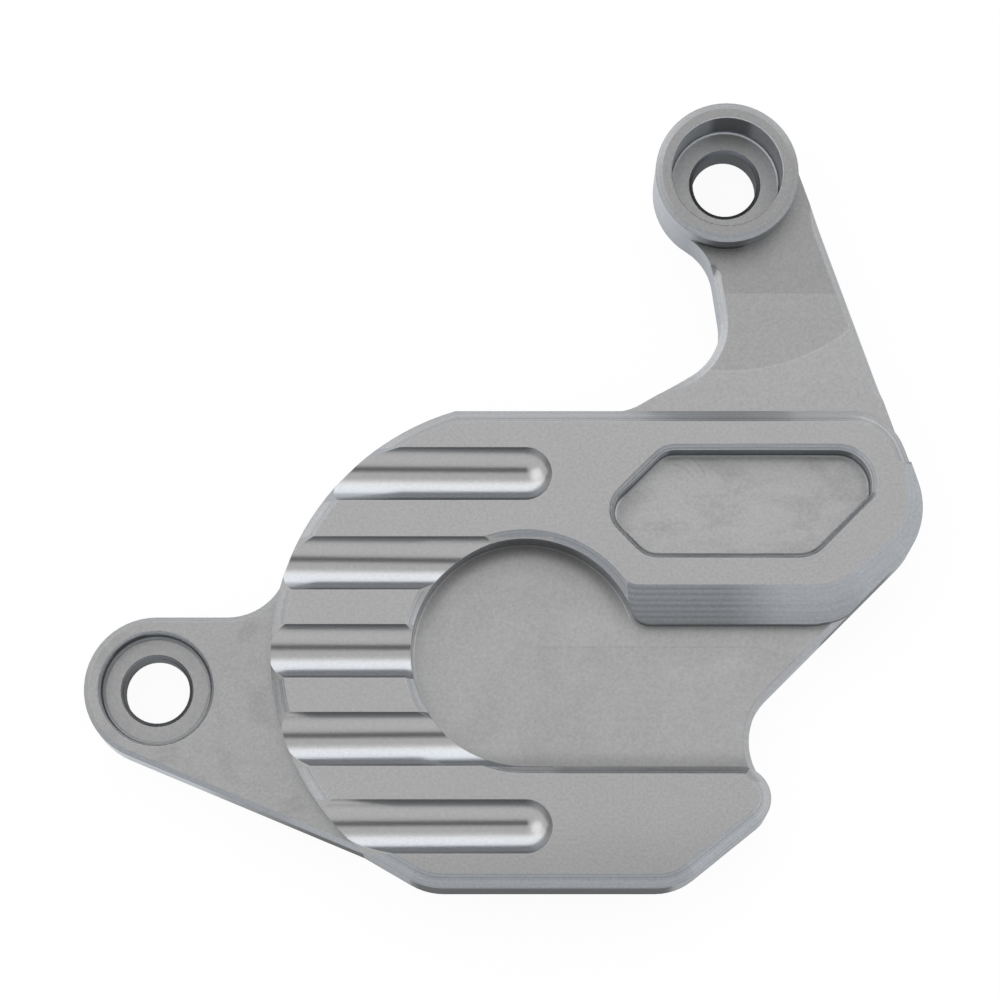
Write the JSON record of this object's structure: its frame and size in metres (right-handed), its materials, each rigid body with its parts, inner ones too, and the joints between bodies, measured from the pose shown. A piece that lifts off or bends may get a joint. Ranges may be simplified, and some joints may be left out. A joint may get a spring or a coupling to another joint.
{
  "type": "water pump cover guard",
  "caption": "Machined aluminium guard that bolts flat over a motorcycle water pump cover, with a bolt ear, a boss on an arm, a grooved round body, an open recess and a pocket.",
  "frame": {"origin": "on the axis of the round recess, in the flat back face that lies against the pump cover", "axes": "+Z is the outward normal of the back face's plane on the front side, so the front faces +Z; +X runs out of the recess along its channel, towards the open edge; +Y runs along the arm's side of the body, towards the tall boss"},
  "size_m": [0.0825, 0.078, 0.0095],
  "materials": {
    "anodised_aluminium": "satin grey anodised, fine milled"
  },
  "bodies": {
    "root": {"cover_guard": "anodised_aluminium"}
  },
  "joints": []
}
